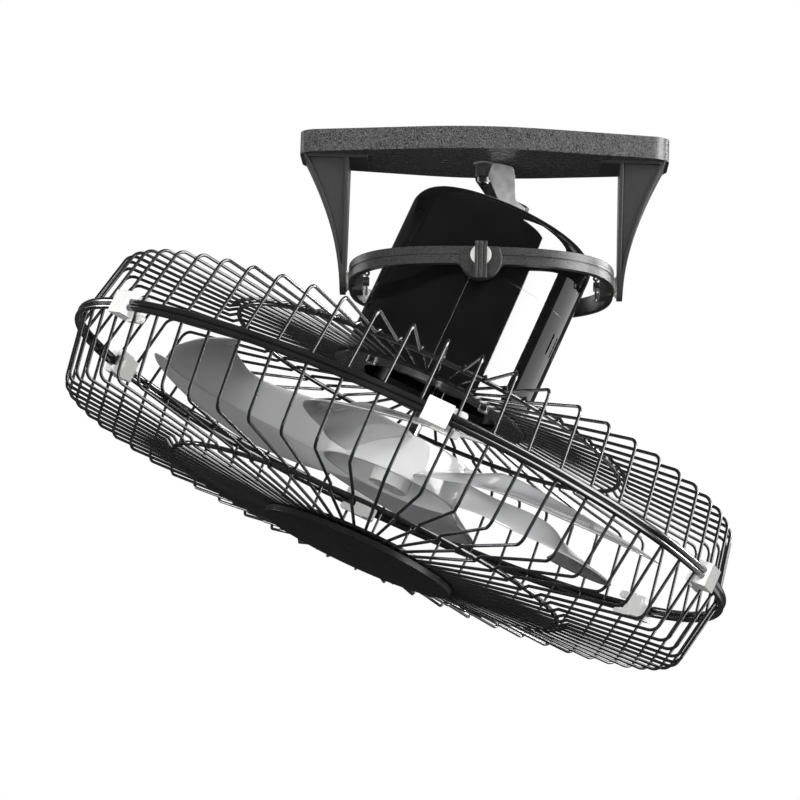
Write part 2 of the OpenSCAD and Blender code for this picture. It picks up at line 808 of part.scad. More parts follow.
module output_gear() {
  color("white") in_head() difference() {
    gear(output_n, out_gear_z, wheel_t, meshed(pinion_n, 0, output_n, second_turn + 180));
    rod(out_shaft_r + run_fit, 0, far);
  }
}

module output_shaft() {
  color("silver") in_crank() {
    rod(out_shaft_r, out_gear_z - 1.4, crank_hub_top);
    rod(clutch_r, out_gear_z - 1.4, out_gear_z - 0.1);
  }
}

module clutch_spring() {
  color("silver") in_crank() difference() {
    union() {
      rod(clutch_r, spring_z, spring_z + 1.2);
      rod(clutch_r - 2.6, spring_z + 1, spring_top);
    }
    rod(out_shaft_r, 0, far);
  }
}

// ---------- head: crank ----------

// The two sheets of the crank reach from the hub to the spindle sleeve
module crank_sheet(pts, side) {
  intersection() {
    translate([0, side > 0 ? sleeve_r + sheet_t : -sleeve_r, 0]) rotate([90, 0, 0])
      linear_extrude(sheet_t) polygon(pts);
    sphere(r = orbit_r, $fn = 96);
  }
}

module crank_bracket() {
  color("gainsboro") in_crank() {
    crank_sheet([[-5, sheet_low], [6, sheet_low], [25.6, 65], [26.2, 72.5], [24, 75.5], [16.7, 78],
      [12, 76], [9.4, 71.5], [2.7, 58], [-5, 56]], 1);
  }
}

module crank_arm() {
  color("dimgray") in_crank() {
    crank_sheet([[-5, sheet_low], [6, sheet_low], [31, 62], [33, 66],
      [31, 71], [26, 71], [8, 58], [-5, 56]], -1);
    difference() {
      union() {
        intersection() {
          rod(crank_hub_r, crank_hub_z, crank_hub_top);
          translate([-far / 2, -sleeve_r, 0]) cube([far, 2 * sleeve_r, far]);
        }
        rod(crank_disc_r, sheet_low - crank_disc_t, sheet_low);
      }
      rod(out_shaft_r, 0, far);
    }
  }
}

module spindle_sleeve() {
  color("dimgray") on_spindle() tube(sleeve_r, spindle_r, orbit_r - 0.4 - sleeve_h, orbit_r - 0.4);
}

module spindle_bolt() {
  color("silver") on_spindle() {
    rod(spindle_r, orbit_r - sleeve_h - 4.5, orbit_r - 0.3);
    rod(4.2, orbit_r - sleeve_h - 3.4, orbit_r - sleeve_h - 0.4);
  }
}

// ---------- head: guards ----------

// A wire that runs from a to b to c in the radius-height plane, bent at b
bend_lap = 0.3;
module bent_wire(a, b, c) {
  u = unit(a - b);
  w = unit(c - b);
  half = acos(u * w) / 2;
  t = bend_r / tan(half);
  p = b + u * t;
  q = b + w * t;
  mid = b + unit(u + w) * bend_r / sin(half);
  pa = atan2(p.y - mid.y, p.x - mid.x);
  qa = atan2(q.y - mid.y, q.x - mid.x);
  d = ((qa - pa + 540) % 360) - 180;
  straight_wire(a, p + unit(p - a) * bend_lap);
  straight_wire(c, q + unit(q - c) * bend_lap);
  translate([mid.x, 0, mid.y]) rotate([90, 0, 0]) rotate([0, 0, min(pa, pa + d)])
    rotate_extrude(angle = abs(d)) translate([bend_r, 0]) circle(r = wire_d / 2 + eps, $fn = 16);
}

module straight_wire(a, b) {
  v = b - a;
  translate([a.x, 0, a.y]) rotate([0, atan2(v.x, v.y), 0]) cylinder(r = wire_d / 2, h = norm(v), $fn = 16);
}

// A small step in a wire, where it passes over the middle ring
module step_wire(a, b) {
  straight_wire(a, b);
  for (p = [a, b]) translate([p.x, 0, p.y]) sphere(r = wire_d / 2 + eps, $fn = 16);
}

// Height of a straight line from a to b at radius r
function at_r(a, b, r) = a.y + (b.y - a.y) * (r - a.x) / (b.x - a.x);

rear_a = [rim_in_r, -hoop_s];
rear_b = [rear_bend_r, -rear_bend_s];
rear_c = [rear_end_r, -rear_end_s];
front_a = [rim_in_r, -hoop_s - 0.4];
front_b = [front_bend_r, -front_bend_s];
front_c = [front_end_r, -cap_s];
step_out = mid_ring_r + 3;
step_in = mid_ring_r - 2;
rib_r = step_in - 2;
step_h = 3;

// Ends of the step, on lines from the bend and from the inner end, step_h apart
function step_a(b, c, out) = [step_out, at_r(b, c - [0, out * step_h], step_out)];
function step_b(b, c, out) = [step_in, at_r(b, c - [0, out * step_h], step_in) + out * step_h];

module wires(a, b, c, out) {
  for (i = [0:wire_n - 1]) rotate([0, 0, wire_turn + 360 * i / wire_n]) {
    bent_wire(a, b, step_a(b, c, out));
    step_wire(step_a(b, c, out), step_b(b, c, out));
    straight_wire(step_b(b, c, out), c);
  }
}

module torus(r, d, z) {
  translate([0, 0, z]) rotate_extrude($fn = 180) translate([r, 0]) circle(r = d / 2, $fn = 24);
}

module rear_guard_wires() { color("black") in_head() wires(rear_a, rear_b, rear_c, 1); }
module front_guard_wires() { color("black") in_head() wires(front_a, front_b, front_c, -1); }
module rear_guard_ring() {
  color("black") in_head()
    torus(rib_r, rib_d, at_r(step_b(rear_b, rear_c, 1), rear_c, rib_r) - (rib_d + wire_d) / 2 + eps);
}
module front_guard_ring() {
  color("black") in_head()
    torus(rib_r, rib_d, at_r(step_b(front_b, front_c, -1), front_c, rib_r) + (rib_d + wire_d) / 2 - eps);
}
module rear_guard_hoop() { color("black") in_head() torus(hoop_r, hoop_d, -hoop_s + hoop_d / 2); }
module front_guard_hoop() { color("black") in_head() torus(hoop_r, hoop_d, -hoop_s - hoop_d / 2); }

module rear_guard_plate() {
  color("black") in_head() difference() {
    rod(rear_plate_r, -rear_plate_s - plate_t, -rear_plate_s);
    rod(flange_in - 1, -far, 0);
    for (a = [0:3]) rotate([0, 0, 90 * a + 45]) translate([post_r, 0, 0]) rod(2.2, -far, 0);
  }
}

module guard_screws() {
  color("silver") in_head() for (a = [0:3]) rotate([0, 0, 90 * a + 45])
    translate([post_r, 0, -rear_plate_s - plate_t]) mirror([0, 0, 1]) screw(3.4, plate_t + 2.5 + 8, 3.4, 2);
}

front_plate_low = at_r(step_b(front_b, front_c, -1), front_c, cap_r - 4) + wire_d / 2 + eps;
module front_guard_plate() {
  color("black") in_head() difference() {
    rod(cap_r - 4, front_plate_low, front_plate_low + plate_t);
    rod(cap_screw_d / 2, -far, 0);
  }
}

cap_screw_d = 3.4;
cap_z = -cap_s - wire_d / 2 - 0.8;
module front_cap() {
  color("black") in_head() difference() {
    rotate_extrude() polygon(concat([[0, cap_z]], [[cap_r, cap_z + 0.8]],
      [for (i = [0:8]) let (t = i / 8) [cap_r * (1 - t), cap_z - cap_t - cap_rise * (1 - pow(1 - t, 2))]]));
    rod(cap_screw_d / 2, cap_z - cap_t, 0);
  }
}

module cap_screw() {
  color("silver") in_head() translate([0, 0, front_plate_low + plate_t])
    screw(cap_screw_d, front_plate_low + plate_t - cap_z + cap_t, 3.4, 2.2);
}

// A clip holds the two rim hoops together between two wires, and two tongues reach behind a wire
tongue_len = 15;
tongue_r = 2.4;
tongue_at = hoop_d + clip_side + 1 - tongue_r;
rim_slope = (rim_in_r - rear_bend_r) / min(hoop_s - rear_bend_s, front_bend_s - hoop_s);
clip_in = rim_in_r - wire_d / 2 - 0.5 - rim_slope * (tongue_at + tongue_r);
module clip() {
  difference() {
    translate([clip_in - clip_wall, -clip_w / 2, -hoop_s - hoop_d - clip_side])
      cube([hoop_r + hoop_d / 2 + 2 * clip_wall - clip_in, clip_w, 2 * (hoop_d + clip_side)]);
    torus(hoop_r, hoop_d + 0.1, -hoop_s + hoop_d / 2);
    torus(hoop_r, hoop_d + 0.1, -hoop_s - hoop_d / 2);
  }
  for (z = [tongue_at, -tongue_at]) translate([0, 0, z - hoop_s]) {
    translate([0, tongue_len, 0]) rod_x(tongue_r, clip_in - clip_wall, clip_in);
    translate([clip_in - clip_wall, 0, -tongue_r]) cube([clip_wall, tongue_len, 2 * tongue_r]);
  }
}
module guard_clips() {
  color("white") in_head() for (i = [0:clip_n - 1])
    rotate([0, 0, wire_turn + clip_turn - 90 + 360 / clip_n * i]) clip();
}

// ---------- rotor ----------

module motor_shaft() {
  color("silver") in_head() difference() {
    union() {
      rod(shaft_d / 2, -shaft_front, ear_h / 2);
      rod(stub_r, 0, stage_z + stage_step + 0.4);
    }
    translate([0, 0, drive_z]) rod_x(drive_d / 2, -far, far);
  }
}

module shaft_pinion() {
  color("gold") in_head() difference() {
    gear(pinion_n, stage_z - 1, wheel_t + 1.6);
    rod(stub_r, 0, far);
  }
}

module rotor_core() {
  color("gray") in_head() difference() {
    union() {
      rod(rotor_r, stack_bot, stack_top);
      tube(rotor_r - 1, rotor_r - 7, stack_bot - 3, stack_top + 3);
    }
    rod(shaft_d / 2, -far, 0);
  }
}

drive_d = 3;
drive_z = -hub_s - drive_d / 2;
drive_len = 17;
hub_tube_r = drive_len / 2 + 2;
module drive_pin() {
  color("silver") in_head() translate([0, 0, drive_z]) rod_x(drive_d / 2, -drive_len / 2, drive_len / 2);
}

// Blade sheet: u runs from hub to tip, v from trailing to leading edge
blade_rows = 11;
blade_cols = 8;
root_r = hub_r - 1;
lead_curve = [3, 1, -5, -15, -19, -14, -4, 3, 9.5, 15, 20];
trail_curve = [-44, -48, -45, -39, -37, -36, -34, -32, -29, -25, -20];
function blade_lead(u) = lookup(u * 10, [for (i = [0:10]) [i, lead_curve[i]]]);
function blade_trail(u) = lookup(u * 10, [for (i = [0:10]) [i, trail_curve[i]]]);
function blade_point(u, v, up) =
  let (w = abs(2 * v - 1), cut = 21 * (1 - v) + 5 * pow(1 - v, 6) + 6 * pow(v, 8),
       r = root_r + (blade_r - cut - root_r) * u,
       a = blade_trail(u) + (blade_lead(u) - blade_trail(u)) * v,
       back = hub_s + 2 + 6 * u, front = hub_s + hub_h - 2 - 3 * pow(u, 0.6),
       bow = 10 * (1 - 1.5 * u) * v * (1 - v),
       s = front + (back - front) * v - bow)
  [r * cos(a), r * sin(a), -s + up * blade_t / 2 * (w > 0.99 ? 0.5 : 1)];
module blade() {
  nu = blade_rows;
  nv = blade_cols;
  n = nu * nv;
  pts = [for (side = [1, -1], i = [0:nu - 1], j = [0:nv - 1])
    blade_point(i / (nu - 1), j / (nv - 1), side)];
  function at(side, i, j) = side * n + i * nv + j;
  faces = concat(
    [for (i = [0:nu - 2], j = [0:nv - 2]) each [
      [at(0, i, j), at(0, i + 1, j + 1), at(0, i + 1, j)],
      [at(0, i, j), at(0, i, j + 1), at(0, i + 1, j + 1)],
      [at(1, i, j), at(1, i + 1, j), at(1, i + 1, j + 1)],
      [at(1, i, j), at(1, i + 1, j + 1), at(1, i, j + 1)]]],
    [for (i = [0:nu - 2]) each [
      [at(0, i, 0), at(0, i + 1, 0), at(1, i + 1, 0)], [at(0, i, 0), at(1, i + 1, 0), at(1, i, 0)],
      [at(0, i, nv - 1), at(1, i + 1, nv - 1), at(0, i + 1, nv - 1)],
      [at(0, i, nv - 1), at(1, i, nv - 1), at(1, i + 1, nv - 1)]]],
    [for (j = [0:nv - 2]) each [
      [at(0, 0, j), at(1, 0, j), at(1, 0, j + 1)], [at(0, 0, j), at(1, 0, j + 1), at(0, 0, j + 1)],
      [at(0, nu - 1, j), at(1, nu - 1, j + 1), at(1, nu - 1, j)],
      [at(0, nu - 1, j), at(0, nu - 1, j + 1), at(1, nu - 1, j + 1)]]]);
  polyhedron(points = pts, faces = faces);
}

module fan_blades() {
  color("gray", 0.6) in_head() {
    difference() {
      union() {
        tube(hub_r, hub_r - hub_wall, -hub_s - hub_h, -hub_s);
        rod(hub_r - hub_wall / 2, -hub_s - hub_wall, -hub_s);
        rod(hub_tube_r, -seat_s, -hub_s);
        for (i = [0:blade_n - 1]) rotate([0, 0, blade_turn + 360 / blade_n * (i + 0.5)])
          translate([hub_tube_r - 1, -rib_t / 2, -seat_s])
            cube([hub_r - hub_tube_r - 1, rib_t, seat_s - hub_s - lap]);
      }
      rod(shaft_d / 2 + run_fit, -far, 0);
      translate([-drive_len / 2 - 0.5, -drive_d / 2 - 0.2, -hub_s - drive_d - 0.2])
        cube([drive_len + 1, drive_d + 0.4, drive_d + 1]);
    }
    for (i = [0:blade_n - 1]) rotate([0, 0, blade_turn - 90 + 360 / blade_n * i]) blade();
  }
}

module blade_nut() {
  color("white") in_head() difference() {
    rod(nut_r, -seat_s - nut_h, -seat_s - 0.1);
    rod(shaft_d / 2, -shaft_front, 0);
  }
}

// ---------- parts ----------

ceiling_bracket();
ceiling_plate();
plate_screws();
terminal_block();
spindle_bush();
leg_left();
leg_right();
leg_screws();
leg_pivot_pins();
leg_split_pins();
thrust_washers();
gimbal_ring();
leg_pivot_bushes();
head_pivot_bushes();
head_pivot_knobs();
upper_housing();
housing_screws();
lower_housing_left();
lower_housing_right();
rear_motor_bracket();
front_motor_bracket();
stator_core();
stator_windings();
motor_bolts();
rear_bearing();
front_bearing();
capacitor();
gearbox_case();
gearbox_cover();
gearbox_screws();
gear_axles();
rear_guard_plate();
rear_guard_wires();
rear_guard_ring();
rear_guard_hoop();
front_guard_hoop();
front_guard_wires();
front_guard_ring();
front_guard_plate();
front_cap();
cap_screw();
guard_clips();
guard_screws();
motor_shaft();
rotor_core();
shaft_pinion();
drive_pin();
fan_blades();
blade_nut();
first_gear();
second_gear();
output_gear();
output_shaft();
clutch_spring();
crank_bracket();
crank_arm();
spindle_sleeve();
spindle_bolt();
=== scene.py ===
"""Orbital ceiling fan: looks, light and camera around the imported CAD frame. Metres, +Z up."""
import json
import math

import bpy
from mathutils import Matrix, Vector


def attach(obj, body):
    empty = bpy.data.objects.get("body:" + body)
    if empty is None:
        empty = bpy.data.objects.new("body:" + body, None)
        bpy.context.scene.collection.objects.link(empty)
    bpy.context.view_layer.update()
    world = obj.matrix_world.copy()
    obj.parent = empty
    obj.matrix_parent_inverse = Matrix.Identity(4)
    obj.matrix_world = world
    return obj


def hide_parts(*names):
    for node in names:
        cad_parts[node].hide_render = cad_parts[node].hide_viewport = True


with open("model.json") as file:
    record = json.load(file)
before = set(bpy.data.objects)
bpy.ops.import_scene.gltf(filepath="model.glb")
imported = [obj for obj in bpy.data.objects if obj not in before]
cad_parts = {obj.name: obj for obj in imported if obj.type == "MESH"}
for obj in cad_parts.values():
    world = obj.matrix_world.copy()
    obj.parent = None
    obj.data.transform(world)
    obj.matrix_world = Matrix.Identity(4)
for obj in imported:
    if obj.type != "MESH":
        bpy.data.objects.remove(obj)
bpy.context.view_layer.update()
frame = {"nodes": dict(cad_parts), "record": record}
NODES = frame["nodes"]

# The head's own frame: its origin at the gimbal's centre, its axis along Z, leaning as in the photograph
GIMBAL_DROP = 0.0934
RING_LEAN, HEAD_LEAN = -3.5, 22.6
HEAD = (Matrix.Translation((0, 0, -GIMBAL_DROP)) @ Matrix.Rotation(math.radians(RING_LEAN), 4, "X")
        @ Matrix.Rotation(math.radians(HEAD_LEAN), 4, "Y"))


# ---------- camera, at the photograph's viewpoint ----------

CAM_AT = Vector((0.01441, -1.98256, -0.47226))
CAM_YAW, CAM_PITCH, CAM_ROLL = -0.0323, 0.1514, 0.0301
CAM_LENS, CAM_SENSOR = 141.8, 36


def make_camera():
    """A camera at CAM_AT, looking along its yaw and pitch, then rolled about its own line of sight."""
    forward = Vector((math.sin(CAM_YAW) * math.cos(CAM_PITCH), math.cos(CAM_YAW) * math.cos(CAM_PITCH),
                      math.sin(CAM_PITCH)))
    level = Vector((math.cos(CAM_YAW), -math.sin(CAM_YAW), 0))
    above = level.cross(forward)
    right = level * math.cos(CAM_ROLL) + above * math.sin(CAM_ROLL)
    up = right.cross(forward)
    camera = bpy.data.objects.new("camera", bpy.data.cameras.new("camera"))
    camera.data.lens = CAM_LENS
    camera.data.sensor_width = CAM_SENSOR
    turn = Matrix((right, up, -forward)).transposed().to_4x4()
    camera.matrix_world = Matrix.Translation(CAM_AT) @ turn
    bpy.context.collection.objects.link(camera)
    bpy.context.scene.camera = camera


make_camera()


# ---------- materials ----------

EDGE_SOFT = 0.0006
BEVEL_SAMPLES = 4
MIX_COLOUR_A, MIX_COLOUR_B, MIX_COLOUR_OUT = 6, 7, 2


class Maker:
    """A material whose nodes are added one by one, with everything linked to one Principled shader."""

    def __init__(self, name, **sockets):
        self.material = bpy.data.materials.new(name)
        self.material.use_nodes = True
        self.tree = self.material.node_tree
        self.shader = self.tree.nodes["Principled BSDF"]
        for socket, value in sockets.items():
            self.put(socket.replace("_", " "), value)

    def put(self, socket, value):
        self.shader.inputs[socket].default_value = value

    def node(self, kind, **values):
        """A new node. Each value sets the node's property of that name, or else its input socket."""
        made = self.tree.nodes.new(kind)
        for name, value in values.items():
            if hasattr(made, name):
                setattr(made, name, value)
            else:
                made.inputs[name.replace("_", " ")].default_value = value
        return made

    def link(self, source, target):
        self.tree.links.new(source, target)

    def noise(self, scale, detail=2.0):
        """Noise in the object's own metres, at scale features a metre."""
        where = self.node("ShaderNodeTexCoord")
        made = self.node("ShaderNodeTexNoise", Scale=scale, Detail=detail)
        self.link(where.outputs["Object"], made.inputs["Vector"])
        return made.outputs["Fac"]

    def ramp(self, source, low, high, to, start=0.35, end=0.65):
        """Blends low to high as source goes from start to end, into the socket named to."""
        made = self.node("ShaderNodeMapRange")
        made.inputs["From Min"].default_value = start
        made.inputs["From Max"].default_value = end
        self.link(source, made.inputs["Value"])
        if isinstance(low, tuple):
            mix = self.node("ShaderNodeMix", data_type="RGBA")
            mix.inputs[MIX_COLOUR_A].default_value = (*low, 1)
            mix.inputs[MIX_COLOUR_B].default_value = (*high, 1)
            self.link(made.outputs["Result"], mix.inputs["Factor"])
            self.link(mix.outputs[MIX_COLOUR_OUT], self.shader.inputs[to])
        else:
            made.inputs["To Min"].default_value = low
            made.inputs["To Max"].default_value = high
            self.link(made.outputs["Result"], self.shader.inputs[to])
        return self

    def bump(self, source, depth):
        """Raises the surface by depth metres where source is 1, and shades edges as rounded."""
        made = self.node("ShaderNodeBump", Distance=depth)
        self.link(source, made.inputs["Height"])
        soft = self.node("ShaderNodeBevel", samples=BEVEL_SAMPLES, Radius=EDGE_SOFT)
        self.link(soft.outputs["Normal"], made.inputs["Normal"])
        self.link(made.outputs["Normal"], self.shader.inputs["Normal"])
        return self


def grained_plastic_with_painted_highlight(name, low, high, grain, depth, rough):
    """Moulded plastic with a raised grain of grain specks a metre, its colour lighter on the raised specks
    as a painted highlight.
    """
    made = Maker(name)
    grain_and_highlight = made.noise(grain, 3)
    # Colour from the grain: random grain tone, plus a painted highlight that makes the raised specks
    # lighter
    made.ramp(grain_and_highlight, low, high, "Base Color", 0.4, 0.64)
    made.ramp(made.noise(grain / 6), *rough, "Roughness")
    return made.bump(grain_and_highlight, depth).material


def smooth_plastic(name, low, high, rough=(0.2, 0.3), **sockets):
    """Smooth plastic or paint, with a faint cloud in its colour and its gloss."""
    made = Maker(name, **sockets)
    made.ramp(made.noise(30, 3), low, high, "Base Color")
    made.ramp(made.noise(140), *rough, "Roughness")
    return made.bump(made.noise(60), 0.00004).material


def metal(name, low, high, rough=(0.2, 0.35)):
    """Bare metal with an even, slightly streaky sheen."""
    made = Maker(name, Metallic=1.0)
    streak = made.noise(220, 3)
    made.ramp(streak, low, high, "Base Color")
    made.ramp(streak, *rough, "Roughness")
    return made.bump(streak, 0.00003).material


MATERIALS = {
    # The high colours of these grained finishes carry a painted highlight on the raised grain specks
    "grained_grey": grained_plastic_with_painted_highlight("grained_grey", (0.01, 0.01, 0.0105), (0.14, 0.14, 0.14),
                                    1500, 0.00012, (0.24, 0.34)),
    "satin_grey": grained_plastic_with_painted_highlight("satin_grey", (0.032, 0.032, 0.033), (0.042, 0.042, 0.043),
                                  1600, 0.00003, (0.34, 0.4)),
    "moulded_grey": grained_plastic_with_painted_highlight("moulded_grey", (0.018, 0.018, 0.018), (0.06, 0.06, 0.06),
                                    1300, 0.0002, (0.28, 0.36)),
    "gloss_black": smooth_plastic("gloss_black", (0.004, 0.004, 0.004), (0.006, 0.006, 0.006),
                                  (0.04, 0.07), Coat_Weight=1.0, Coat_Roughness=0.03),
    "black_paint": smooth_plastic("black_paint", (0.01, 0.01, 0.01), (0.016, 0.016, 0.016),
                                  (0.16, 0.24), Coat_Weight=0.6, Coat_Roughness=0.12),
    "cap_black": smooth_plastic("cap_black", (0.01, 0.01, 0.01), (0.015, 0.015, 0.015), (0.3, 0.38),
                                Specular_IOR_Level=0.3),
    "white_plastic": smooth_plastic("white_plastic", (0.8, 0.8, 0.79), (0.86, 0.86, 0.85)),
    "nylon": smooth_plastic("nylon", (0.72, 0.72, 0.69), (0.8, 0.8, 0.77), (0.3, 0.4)),
    "ivory": smooth_plastic("ivory", (0.68, 0.66, 0.56), (0.75, 0.73, 0.63), (0.35, 0.45)),
    "galvanised": metal("galvanised", (0.58, 0.58, 0.58), (0.7, 0.7, 0.7), (0.5, 0.6)),
    "steel": metal("steel", (0.5, 0.5, 0.5), (0.62, 0.62, 0.62)),
    "bright_steel": metal("bright_steel", (0.75, 0.75, 0.76), (0.85, 0.85, 0.86), (0.06, 0.12)),
    "dark_steel": metal("dark_steel", (0.05, 0.05, 0.05), (0.09, 0.09, 0.09), (0.25, 0.4)),
    "cast_alloy": metal("cast_alloy", (0.5, 0.5, 0.5), (0.62, 0.62, 0.62), (0.4, 0.6)),
    "laminations": metal("laminations", (0.2, 0.2, 0.21), (0.36, 0.36, 0.37), (0.35, 0.5)),
    "copper": metal("copper", (0.5, 0.2, 0.08), (0.7, 0.33, 0.14), (0.2, 0.35)),
    "brass": metal("brass", (0.7, 0.52, 0.24), (0.82, 0.65, 0.33), (0.15, 0.25)),
}


def smoke_plastic():
    """Smoky see-through plastic, with a painted highlight: lighter at the hub and blade roots than out
    along the blades.
    """
    made = Maker("smoke_plastic", Transmission_Weight=0.25, IOR=1.49, Coat_Weight=0.5, Coat_Roughness=0.04)
    where = made.node("ShaderNodeTexCoord")
    source = where.outputs["Object"]
    for operation, value in (("SUBTRACT", HEAD.translation), ("CROSS_PRODUCT", HEAD.col[2].to_3d())):
        step = made.node("ShaderNodeVectorMath", operation=operation)
        step.inputs[1].default_value = value
        made.link(source, step.inputs[0])
        source = step.outputs["Vector"]
    radius = made.node("ShaderNodeVectorMath", operation="LENGTH")
    made.link(source, radius.inputs[0])
    # Painted highlight: the colour goes from light near the head's axis to darker out along the blades
    made.ramp(radius.outputs["Value"], (0.84, 0.84, 0.84), (0.56, 0.56, 0.57), "Base Color", 0.044, 0.12)
    made.ramp(made.noise(90), 0.12, 0.2, "Roughness")
    return made.bump(made.noise(25), 0.0001).material


MATERIALS["smoke_plastic"] = smoke_plastic()

# Nodes whose look differs from the other nodes of their slot
FINISH_OF = {"front_cap": "cap_black", "spindle_sleeve": "moulded_grey"}
JOIN_WITHIN, SHARP_FROM = 0.000001, 30
SLOT_OF = {s["node"]: s["material_slot"] for s in frame["record"]["subparts"]}
for node_name, node_object in NODES.items():
    node_object.data.materials.clear()
    finish = FINISH_OF.get(node_name, SLOT_OF[node_name])
    node_object.data.materials.append(MATERIALS[finish])
    faces = node_object.data.polygons
    faces.foreach_set("use_smooth", [True] * len(faces))
    node_object.modifiers.new("join", "WELD").merge_threshold = JOIN_WITHIN
    node_object.modifiers.new("edges", "EDGE_SPLIT").split_angle = math.radians(SHARP_FROM)


# ---------- blades, smooth where the CAD sheet is faceted ----------

# Sizes and curves as in the part's source, but for four of the picture's own: HUB_BORE_R, RIB_FROM_R,
# RIB_STEPS and EDGE_SHARE
HUB_R, HUB_BACK, HUB_H, HUB_SEAT = 0.046, 0.1145, 0.0275, 0.1336
HUB_BORE_R, HUB_TUBE_R = 0.0042, 0.0105
RIB_FROM_R, RIB_STEPS = 0.0098, 8
BLADE_R, BLADE_T, BLADE_N, BLADE_TURN = 0.183, 0.0022, 6, 5
LEAD = (3, 1, -5, -15, -19, -14, -4, 3, 9.5, 15, 20)
TRAIL = (-44, -48, -45, -39, -37, -36, -34, -32, -29, -25, -20)
BLADE_ROWS, BLADE_COLS = 23, 13
EDGE_SHARE = 0.35


def add_mesh(name, points, faces, body, material_slot, sharp=35):
    """A smooth-shaded mesh with points in the head's frame, riding on body."""
    mesh = bpy.data.meshes.new(name)
    mesh.from_pydata([HEAD @ Vector(p) for p in points], [], faces)
    mesh.validate()
    mesh.polygons.foreach_set("use_smooth", [True] * len(mesh.polygons))
    mesh.set_sharp_from_angle(angle=math.radians(sharp))
    mesh.materials.append(MATERIALS[material_slot])
    made = bpy.data.objects.new(name, mesh)
    bpy.context.collection.objects.link(made)
    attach(made, body)
    return made


def curve_at(values, u):
    """Catmull-Rom value of an evenly spaced list at u from 0 to 1."""
    x = min(u, 0.99999) * (len(values) - 1)
    i = int(x)
    t = x - i
    p0, p1, p2, p3 = (values[min(max(i + k, 0), len(values) - 1)] for k in (-1, 0, 1, 2))
    return 0.5 * (2 * p1 + (p2 - p0) * t + (2 * p0 - 5 * p1 + 4 * p2 - p3) * t * t
                  + (3 * p1 - p0 - 3 * p2 + p3) * t ** 3)


def blade_point(u, v):
    """A point of the blade sheet: u runs from hub to tip, v from trailing to leading edge."""
    root = HUB_R - 0.001
    cut = 0.021 * (1 - v) + 0.005 * (1 - v) ** 6 + 0.006 * v ** 8
    r = root + (BLADE_R - cut - root) * u
    a = math.radians(curve_at(TRAIL, u) + (curve_at(LEAD, u) - curve_at(TRAIL, u)) * v)
    back = HUB_BACK + 0.002 + 0.006 * u
    front = HUB_BACK + HUB_H - 0.002 - 0.003 * u ** 0.6
    bow = 0.010 * (1 - 1.5 * u) * v * (1 - v)
    s = front + (back - front) * v - bow
    return Vector((r * math.cos(a), r * math.sin(a), -s))


def blade_mesh():
    """The points and faces of all the blades, as sheets of BLADE_T with thinner edges."""
    points, faces = [], []
    for k in range(BLADE_N):
        turn = Matrix.Rotation(math.radians(BLADE_TURN - 90 + 360 / BLADE_N * k), 4, "Z")
        first = len(points)
        for side in (1, -1):
            for i in range(BLADE_ROWS):
                for j in range(BLADE_COLS):
                    v = j / (BLADE_COLS - 1)
                    edge = j in (0, BLADE_COLS - 1) or i == BLADE_ROWS - 1
                    half = BLADE_T / 2 * (EDGE_SHARE if edge else 1)
                    middle = blade_point(i / (BLADE_ROWS - 1), v)
                    points.append(turn @ (middle + Vector((0, 0, side * half))))
        n = BLADE_ROWS * BLADE_COLS

        def at(side, i, j):
            return first + side * n + i * BLADE_COLS + j
        for i in range(BLADE_ROWS - 1):
            for j in range(BLADE_COLS - 1):
                faces.append((at(0, i, j), at(0, i + 1, j), at(0, i + 1, j + 1), at(0, i, j + 1)))
                faces.append((at(1, i, j), at(1, i, j + 1), at(1, i + 1, j + 1), at(1, i + 1, j)))
        rim = ([(i, 0) for i in range(BLADE_ROWS)] + [(BLADE_ROWS - 1, j) for j in range(1, BLADE_COLS)]
               + [(i, BLADE_COLS - 1) for i in range(BLADE_ROWS - 2, -1, -1)]
               + [(0, j) for j in range(BLADE_COLS - 2, 0, -1)])
        for a, b in zip(rim, rim[1:] + rim[:1]):
            faces.append((at(0, *a), at(1, *a), at(1, *b), at(0, *b)))
    return points, faces


def lathe(profile, steps=128):
    """The points and faces of a closed (radius, height) outline turned about the head's axis."""
    n = len(profile)
    points = [(r * math.cos(a), r * math.sin(a), z)
              for a in (2 * math.pi * k / steps for k in range(steps)) for r, z in profile]
    faces = [(k * n + i, k * n + (i + 1) % n, (k + 1) % steps * n + (i + 1) % n, (k + 1) % steps * n + i)
             for k in range(steps) for i in range(n)]
    return points, faces


blades = add_mesh("blades", *blade_mesh(), "rotor", "smoke_plastic", 60)
blades.modifiers.new("smooth", "SUBSURF").render_levels = 1
hub_back, hub_front = -HUB_BACK, -HUB_BACK - HUB_H
hub = add_mesh("blade_hub", *lathe([
    (HUB_BORE_R, hub_back), (HUB_R - 0.003, hub_back), (HUB_R - 0.0009, hub_back - 0.0009),
    (HUB_R, hub_back - 0.003), (HUB_R, hub_front + 0.0006), (HUB_R - 0.0006, hub_front),
    (HUB_R - 0.0024, hub_front), (HUB_R - 0.003, hub_front + 0.0006), (HUB_R - 0.003, hub_back - 0.004),
    (HUB_R - 0.004, hub_back - 0.003), (0.0115, hub_back - 0.003), (HUB_TUBE_R, hub_back - 0.004),
    (HUB_TUBE_R, -HUB_SEAT + 0.0005), (0.0100, -HUB_SEAT), (HUB_BORE_R, -HUB_SEAT)]),
    "rotor", "smoke_plastic")


